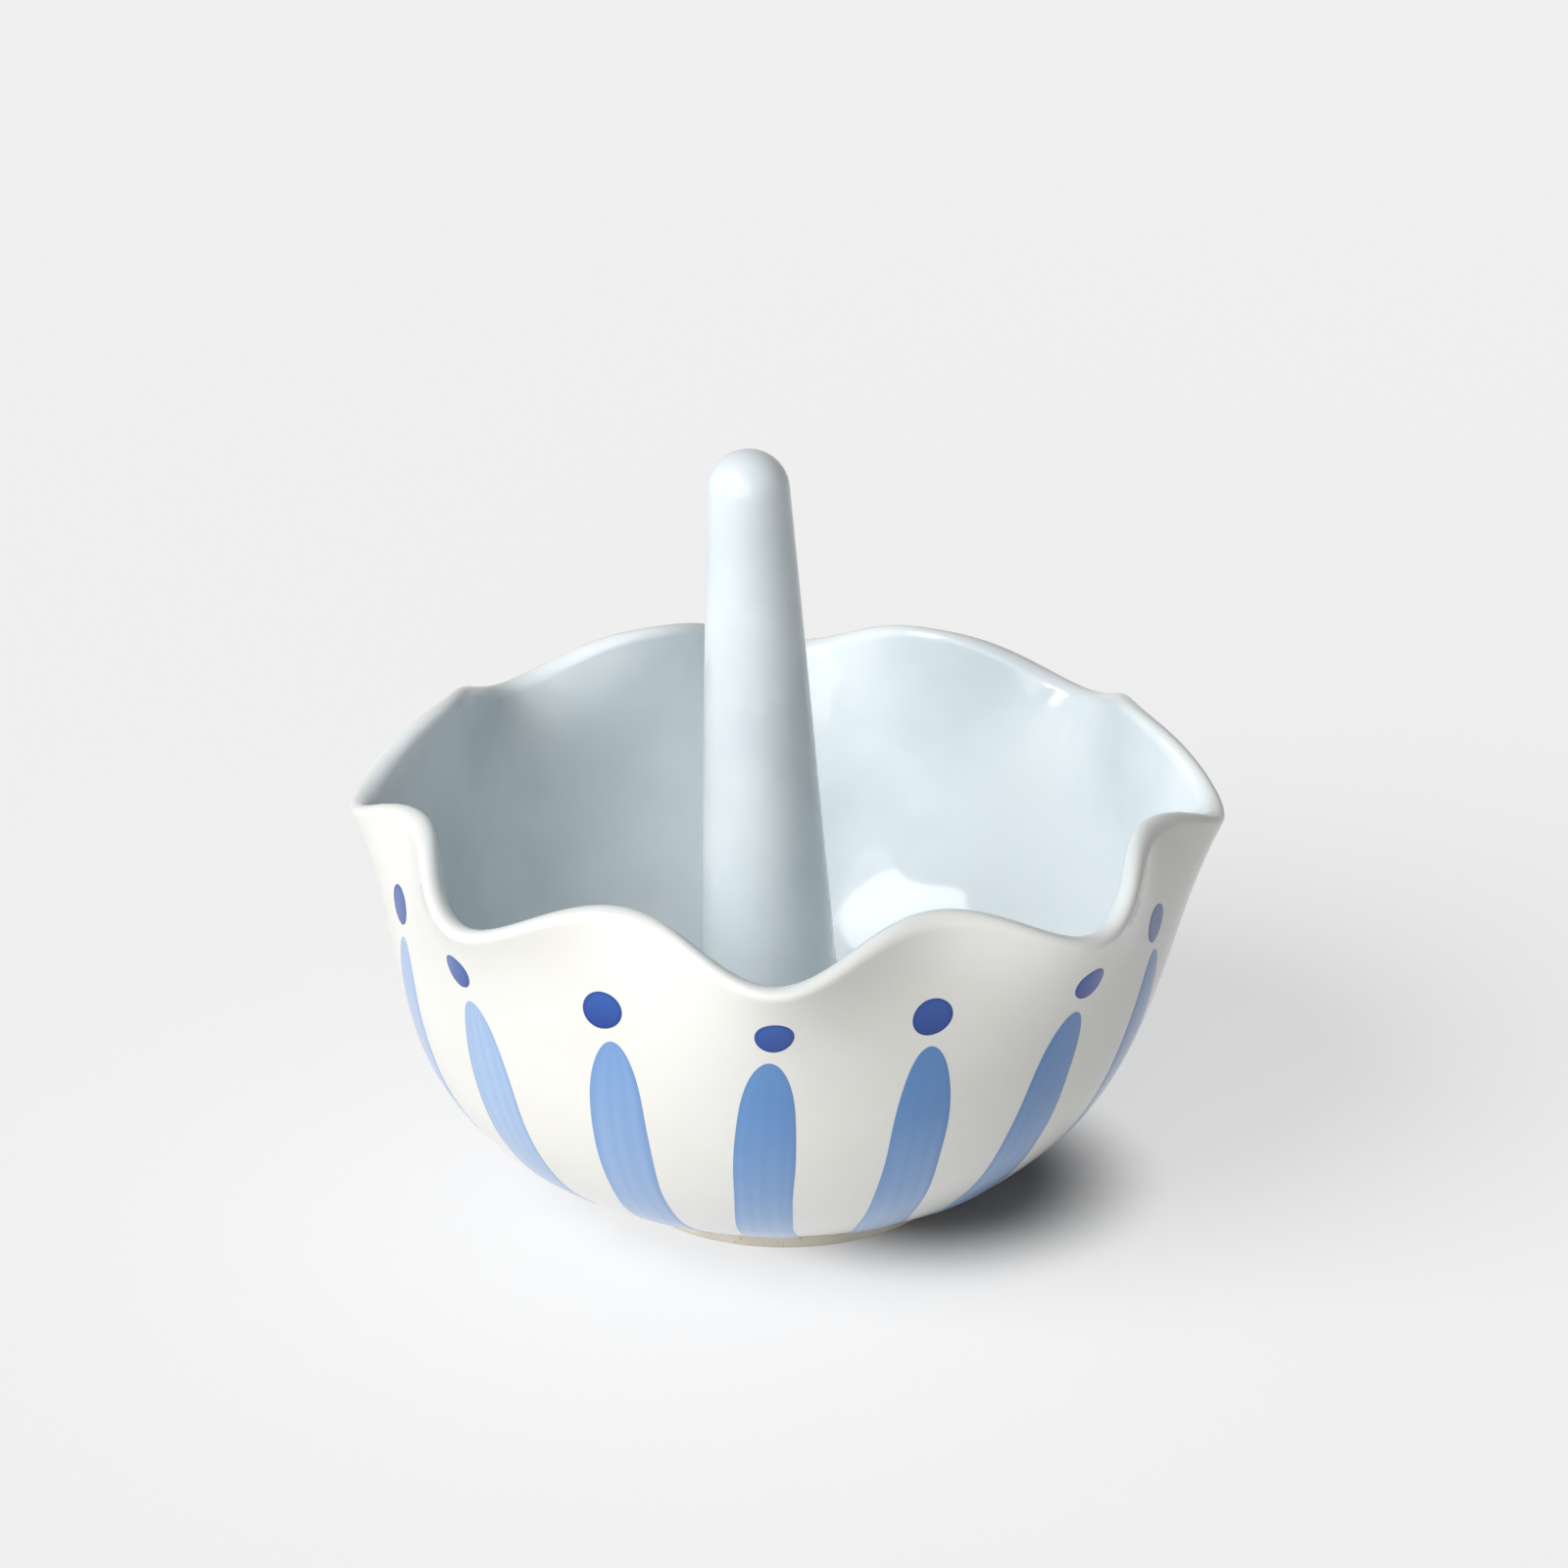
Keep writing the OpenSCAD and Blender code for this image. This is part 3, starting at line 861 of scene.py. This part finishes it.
@dataclass
class FootRing:
    """The turned ring of bare clay that the dish stands on."""

    form: BowlForm
    outer_r: float
    width: float = 3.8
    edge_r: float = 0.45
    top_edge_r: float = 0.08
    columns: int = 288
    side_rows: int = 9
    edge_rows: int = 7
    groove: float = 0.03

    def corner(self, centre: tuple[float, float], radius: float, start: float) -> Array:
        """A quarter circle, counted from a start in quarter turns, as radius and height."""
        turn = (start + np.linspace(0, 1, self.edge_rows)) * math.pi / 2
        return np.array(centre) + radius * np.stack([np.cos(turn), np.sin(turn)], axis=1)

    def outline(self) -> Array:
        """The ring's section: four round corners joined by straight sides, worn most at the bottom."""
        inner, outer, top = self.outer_r - self.width, self.outer_r, self.form.foot_h
        low, high = self.edge_r, self.top_edge_r
        corners = [
            self.corner((outer - low, low), low, 3),
            self.corner((outer - high, top - high), high, 0),
            self.corner((inner + high, top - high), high, 1),
            self.corner((inner + low, low), low, 2),
        ]
        rise = np.linspace(0, 1, self.side_rows)[1:-1, None]
        rows = []
        for n, corner in enumerate(corners):
            following = corners[(n + 1) % len(corners)]
            rows += [corner, mix(corner[-1], following[0], rise)]
        return np.concatenate(rows)

    def build(self) -> None:
        """Makes the ring, with faint turning grooves on its sides, and dresses it."""
        outline = self.outline()
        angles = np.arange(self.columns)[None, :] * TURN / self.columns
        height = outline[:, 1:] * np.ones_like(angles)
        middle = self.outer_r - self.width / 2
        side = np.sign(outline[:, :1] - middle)
        share = np.clip(height / self.form.foot_h, 0, 1)
        depth = self.groove * np.sin(math.pi * share) * (1 + np.sin(9 * share + 2 * np.sin(angles)))
        radius = outline[:, :1] - side * depth
        x = radius * np.sin(angles) - self.form.foot_shift
        points = np.stack([x, -radius * np.cos(angles), height], axis=-1)
        faces = grid_faces(len(outline), self.columns, True, True)
        piece = make_piece("foot_ring_turned", [Shell(points, [faces])])
        # The foot's clay colour is lightened as painted light against the shade under the bowl.
        dress(piece, PAINTED_LIGHT_FOOT_CLAY.material(), Slot.BARE_CLAY, "foot_ring")


@dataclass
class BrushMarks:
    """The ring of dots and the ring of petals, painted by hand with blue slip.

    Each mark has a hand-made turn around the bowl from its even place, in degrees. A petal also leans by its
    foot, and its paint is thin from its tip on by a share. Marks run from the front valley towards +X.
    """

    form: BowlForm
    thick: float = 0.09
    edge_thick: float = 0.03
    sunk: float = 0.05
    dot_z: float = 44.2
    dot_d: float = 4.8
    crest_share: float = 0.06
    petal_z: float = 40.2
    petal_start_t: float = 0.012
    petal_w: float = 7.3
    petal_foot_w: float = 5.9
    petal_head: float = 0.36
    petal_rows: int = 64
    petal_columns: int = 15
    dot_rings: int = 8
    dot_columns: int = 48
    dot_turns: tuple[float, ...] = (0, -0.6, 0.5, -0.5, 0.8, -0.4, 0.6, 1.0, -0.5, 0.4, -0.8, 0.5, -1.0, -3.0, -2.5, -1.7)
    petal_turns: tuple[float, ...] = (-0.5, -0.6, -0.6, 0.2, 0.5, -0.6, 0.4, 0.8, -0.4, 0.5, -0.7, 0.6, -0.5, -1.6, -1.0, -0.2)
    petal_leans: tuple[float, ...] = (0.3, 0.9, -3.0, -1.5, 0.6, 1.0, -0.8, 0.5, 0.9, -0.6, 0.7, -0.9, 1.0, 2.0, 3.5, 2.2)
    petal_thins: tuple[float, ...] = (0, 0, 0, 0.1, 0.2, 0, 0.1, 0.3, 0.1, 0, 0.2, 0.4, 0.6, 0.85, 0.85, 0.35)

    def lifted(self, t: Array, angle: Array, lift: Array) -> Array:
        """Points over the glaze, at one height around the bowl."""
        return self.form.on_wall(self.form.levelled(t, angle), angle, -lift)

    def petal_width(self, v: Array) -> Array:
        """A petal's width at a share of its length from the tip.

        Args:
            v: The share, from 0 at the tip to 1 at the foot.

        Returns:
            The widest width times root(1 - (1 - v / head)^3) in the head, and below it a change to the
            foot's width by the power 1.5.
        """
        head = self.petal_w * np.sqrt(np.clip(1 - (1 - v / self.petal_head) ** 3, 0, 1))
        share = np.clip((v - self.petal_head) / (1 - self.petal_head), 0, 1)
        return np.where(v < self.petal_head, head, mix(self.petal_w, self.petal_foot_w, share**1.5))

    def petal(self, n: int) -> Shell:
        """One petal as a closed shell, with a crowned top and a flat back in the glaze.

        Args:
            n: The number of the sector.

        Returns:
            The shell, whose values are stroke, from the tip to the foot, edge, from the middle line to the
            sides, and streak, a wave across the brush.
        """
        rows, columns = self.petal_rows, self.petal_columns
        v = np.linspace(0, 1, rows)[:, None] ** 1.6
        u = np.sin(np.linspace(-1, 1, columns) * math.pi / 2)[None, :]
        t = mix(self.form.t_at(self.petal_z), self.petal_start_t, v)
        half = np.maximum(self.petal_width(v) / 2, 0.12)
        wander = 1 + 0.02 * np.sin(9 * v + 1.7 * n) + 0.012 * np.sin(23 * v + 2.9 * n)
        width_angle = half * wander / self.form.wall_at(t)[..., 0]
        turn = math.radians(self.petal_turns[n]) + math.radians(self.petal_leans[n]) * v
        angle = n * TURN / self.form.marks + turn + u * width_angle
        t = t * np.ones_like(u)
        crown = self.edge_thick + (self.thick - self.edge_thick) * (1 - u**4) * ease(v * 14 + 0.1)
        top = self.lifted(t, angle, crown * np.ones_like(angle))
        back = self.lifted(t, angle, np.full_like(angle, -self.sunk))
        top_faces = grid_faces(rows, columns, False, False)
        faces = [top_faces[:, ::-1], top_faces + rows * columns]
        ones = np.ones_like(angle)
        streak = 0.5 + 0.5 * np.sin(11 * u + 2.3 * n + 1.5 * np.sin(5 * v))
        stroke = mix(np.array(self.petal_thins[n]), np.array(1.0), v)
        values = {"stroke": stroke * ones, "edge": np.abs(u) * ones, "streak": streak * ones}
        both = {key: np.stack([each, each]) for key, each in values.items()}
        return Shell(np.stack([top, back]), faces, [self.sides(rows, columns)], both)

    def sides(self, rows: int, columns: int) -> Array:
        """The faces that join two equal grids, the second right after the first, along their four sides."""
        total = rows * columns
        down = np.arange(rows) * columns
        across = np.arange(columns)
        ring = np.concatenate(
            [across[:-1], down[:-1] + columns - 1, (down[-1] + across)[:0:-1], down[:0:-1]]
        )
        following = np.roll(ring, -1)
        return np.stack([ring, ring + total, following + total, following], axis=1)

    def dot(self, n: int) -> Shell:
        """One dot as a closed shell of rings about a middle point on its top and one on its back.

        Args:
            n: The number of the sector.

        Returns:
            The shell, with the same kinds of values as a petal.
        """
        form, columns = self.form, self.dot_columns
        turn = np.arange(columns)[None, :] * TURN / columns
        share = np.linspace(0, 1, self.dot_rings + 1)[1:, None]
        crest = 1 if n % 2 else -1
        radius = self.dot_d / 2 * (1 + self.crest_share * crest)
        wander = 1 + 0.02 * np.sin(2 * turn + 1.3 * n) + 0.012 * np.sin(3 * turn + 2.2 * n)
        t = form.t_at(self.dot_z)
        middle = n * TURN / form.marks + math.radians(self.dot_turns[n])
        reach = radius / np.linalg.norm(form.wall_step(t))
        width_angle = radius / form.wall_at(t)[0]

        def ring(r: Array, lift: Array) -> Array:
            """Points at shares of the dot's radius, at a height over the glaze."""
            return self.lifted(
                t + r * reach * wander * np.sin(turn),
                middle + r * width_angle * wander * np.cos(turn),
                lift,
            )

        crown = self.edge_thick + (self.thick - self.edge_thick) * (1 - share**4)
        ones = np.ones_like(turn)
        top = ring(share, crown * ones)
        back = ring(share, -self.sunk * np.ones_like(share * ones))
        hubs = [self.lifted(np.array(t), np.array(middle), np.array(lift)) for lift in (self.thick, -self.sunk)]
        rings = np.concatenate([top, back[::-1]])
        points = np.concatenate([rings.reshape(-1, 3), np.array(hubs)])
        total = len(rings)
        here = np.arange(columns)
        beside = (here + 1) % columns
        last = (total - 1) * columns
        strips = grid_faces(total, columns, False, True)[:, ::-1].reshape(total - 1, columns, 4)
        rim = self.dot_rings - 1
        faces = [
            np.delete(strips, rim, axis=0).reshape(-1, 4),
            np.stack([here, beside, np.full(columns, total * columns)], axis=1),
            np.stack([last + beside, last + here, np.full(columns, total * columns + 1)], axis=1),
        ]
        edge = np.concatenate([(share * ones).ravel(), (share[::-1] * ones).ravel(), [0.0, 0.0]])
        across = np.concatenate([(0.5 + 0.5 * np.sin(turn) * share).ravel()] * 2 + [[0.5, 0.5]])
        values = {"stroke": across, "edge": edge, "streak": np.zeros_like(edge)}
        return Shell(points, faces, [strips[rim]], values)

    def build(self) -> None:
        """Makes all the dots as one piece, and all the petals as another."""
        for kind, name, finish, slot in (
            (Mark.DOT, "dot_marks", COBALT, Slot.DOTS),
            (Mark.PETAL, "petal_marks", LIGHT_BLUE, Slot.PETALS),
        ):
            shells = [self.dot(n) if kind is Mark.DOT else self.petal(n) for n in range(self.form.marks)]
            dress(make_piece(f"{name}_painted", shells), finish.material(), slot, name)


@dataclass
class ClayCore:
    """The clay under the glazes, which stays as the construction model has it."""

    nodes: tuple[str, ...] = ("bowl_body", "ring_cone", "slip_joint")

    def build(self) -> None:
        """Gives the construction nodes their clay."""
        clay = BODY_CLAY.material()
        for name in self.nodes:
            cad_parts[name].material_slots[0].material = clay
            LOG.info("%s keeps its shape, in %s", name, clay.name)


# The studio


@dataclass(frozen=True)
class Lamp:
    """A large soft lamp far away, at a turn from the front towards +X and a rise, in degrees."""

    name: str
    turn: float
    rise: float
    spread: float
    strength: float
    colour: Colour = (1.0, 1.0, 1.0)


def towards(turn: float, rise: float) -> Vector:
    """The direction to a place at a turn from the front, towards +X, and a rise, both in degrees."""
    a, e = math.radians(turn), math.radians(rise)
    return Vector((math.cos(e) * math.sin(a), -math.cos(e) * math.cos(a), math.sin(e)))


@dataclass
class Studio:
    """A pale floor with a painted shadow beside the foot and painted light over the rest of the dish's shadow, and
    soft lamps on the left and in front, in millimetres and degrees.
    """

    target: tuple[float, float, float] = (-0.35, 0.0, 53.4)
    distance: float = 662.0
    camera_turn: float = 1.5
    camera_rise: float = 23.68
    lens: float = 122.85
    sensor: float = 36.0
    floor_half: float = 4000.0
    floor_colour: Colour = linear(236, 236, 236)
    floor_seen: Colour = linear(160, 159, 158)
    # The camera-only emission below is painted light that lightens the dish's shadow on the floor; where it fades
    # out near the foot's right it leaves a painted shadow on the darker camera colour.
    painted_floor_light: float = 0.62
    painted_shadow_centre: tuple[float, float, float] = (19.0, -2.0, 0.0)
    painted_shadow_r: float = 11.5
    painted_light_r: float = 31.0
    lamps: tuple[Lamp, ...] = (
        Lamp("key_light", turn=-54, rise=38, spread=44, strength=2.5),
        Lamp("front_light", turn=-22, rise=22, spread=60, strength=1.2),
    )
    sky: Colour = (0.8, 0.93, 1.0)
    sky_strength: float = 0.05
    backdrop: Colour = linear(243, 243, 243)

    def seen(self, nodes: bpy.types.Nodes, links: bpy.types.NodeLinks) -> bpy.types.NodeSocket:
        """A number that is 1 for rays from the camera, from a gloss and through glass, and 0 for light."""
        ray = nodes.new("ShaderNodeLightPath")
        total = ray.outputs["Is Camera Ray"]
        for name in ("Is Glossy Ray", "Is Transmission Ray"):
            either = nodes.new("ShaderNodeMath")
            either.operation = "MAXIMUM"
            links.new(total, either.inputs[0])
            links.new(ray.outputs[name], either.inputs[1])
            total = either.outputs[0]
        return total

    def floor(self) -> None:
        """Makes the floor, a flat grid at the dish's foot. For the camera it is darker, and an emission lifts it
        except near the foot's right: painted light over the dish's shadow, and a painted shadow by the foot.
        """
        across = np.linspace(-self.floor_half, self.floor_half, 9)
        x, y = np.meshgrid(across, across)
        points = np.stack([x, y, np.zeros_like(x)], axis=-1)
        floor = make_piece("studio_floor", [Shell(points, [grid_faces(9, 9, False, False)])])
        tree = NodeTree("studio_floor")
        seen = self.seen(tree.nodes, tree.links)
        colour = tree.blend(seen, self.floor_colour, self.floor_seen)
        tree.feed(tree.surface, Base_Color=colour, Roughness=0.9, Specular_IOR_Level=0.1)
        # Painted light: camera-only emission that rises with the distance from a point right of the foot, leaving a
        # painted shadow close to that point.
        away = tree.add("ShaderNodeVectorMath", operation="DISTANCE")
        tree.links.new(tree.place(), away.inputs[0])
        away.inputs[1].default_value = Vector(self.painted_shadow_centre) * MM
        painted_floor_light = tree.span(away.outputs["Value"], self.painted_shadow_r * MM, self.painted_light_r * MM, 0.0, self.painted_floor_light)
        shown = tree.add("ShaderNodeMath", operation="MULTIPLY")
        tree.links.new(painted_floor_light, shown.inputs[0])
        tree.links.new(seen, shown.inputs[1])
        tree.feed(tree.surface, Emission_Color=(1.0, 1.0, 1.0), Emission_Strength=shown.outputs[0])
        floor.data.materials.append(tree.material)

    def lights(self) -> None:
        """Makes the lamps."""
        for lamp in self.lamps:
            data = bpy.data.lights.new(lamp.name, "SUN")
            data.energy = lamp.strength
            data.angle = math.radians(lamp.spread)
            data.color = lamp.colour
            light = bpy.data.objects.new(lamp.name, data)
            light.location = towards(lamp.turn, lamp.rise)
            light.rotation_euler = light.location.to_track_quat("Z", "Y").to_euler()
            bpy.context.scene.collection.objects.link(light)

    def world(self) -> None:
        """A dim, slightly cool sky, which the camera sees as a pale backdrop."""
        world = bpy.data.worlds.new("studio")
        bpy.context.scene.world = world
        world.use_nodes = True
        nodes, links = world.node_tree.nodes, world.node_tree.links
        nodes.clear()
        light, seen = nodes.new("ShaderNodeBackground"), nodes.new("ShaderNodeBackground")
        light.inputs["Color"].default_value = (*self.sky, 1.0)
        light.inputs["Strength"].default_value = self.sky_strength
        seen.inputs["Color"].default_value = (*self.backdrop, 1.0)
        choose = nodes.new("ShaderNodeMixShader")
        links.new(self.seen(nodes, links), choose.inputs["Fac"])
        links.new(light.outputs["Background"], choose.inputs[1])
        links.new(seen.outputs["Background"], choose.inputs[2])
        links.new(choose.outputs["Shader"], nodes.new("ShaderNodeOutputWorld").inputs["Surface"])

    def camera(self) -> None:
        """Makes the camera, level and aimed at its target."""
        data = bpy.data.cameras.new("camera")
        data.lens, data.sensor_width = self.lens, self.sensor
        camera = bpy.data.objects.new("camera", data)
        target = Vector(self.target) * MM
        back = towards(self.camera_turn, self.camera_rise)
        camera.location = target + back * self.distance * MM
        camera.rotation_euler = back.to_track_quat("Z", "Y").to_euler()
        bpy.context.scene.collection.objects.link(camera)
        bpy.context.scene.camera = camera

    def build(self) -> None:
        """Makes the whole studio."""
        self.floor()
        self.lights()
        self.world()
        self.camera()
        bpy.context.scene.view_settings.view_transform = "Standard"
        LOG.info("studio: %d lamps, camera at %.1f degrees", len(self.lamps), self.camera_rise)


def main() -> None:
    """Builds the studio and the dish's parts in order."""
    logging.basicConfig(level=logging.INFO, format="%(name)s: %(message)s")
    foot_low, foot_high = frame_box("foot_ring")
    cone_low, cone_high = frame_box("cone_glaze")
    form = BowlForm(
        foot_h=float(foot_high[2]),
        foot_shift=float(-(foot_low[0] + foot_high[0]) / 2),
        belly_shift=float(-(cone_low[0] + cone_high[0]) / 2),
    )
    Studio().build()
    ClayCore().build()
    FootRing(form, outer_r=float(foot_high[0] - foot_low[0]) / 2).build()
    BowlGlazes(form).build()
    RingCone(form, top_z=float(cone_high[2])).build()
    BrushMarks(form).build()


if __name__ == "__main__":
    main()
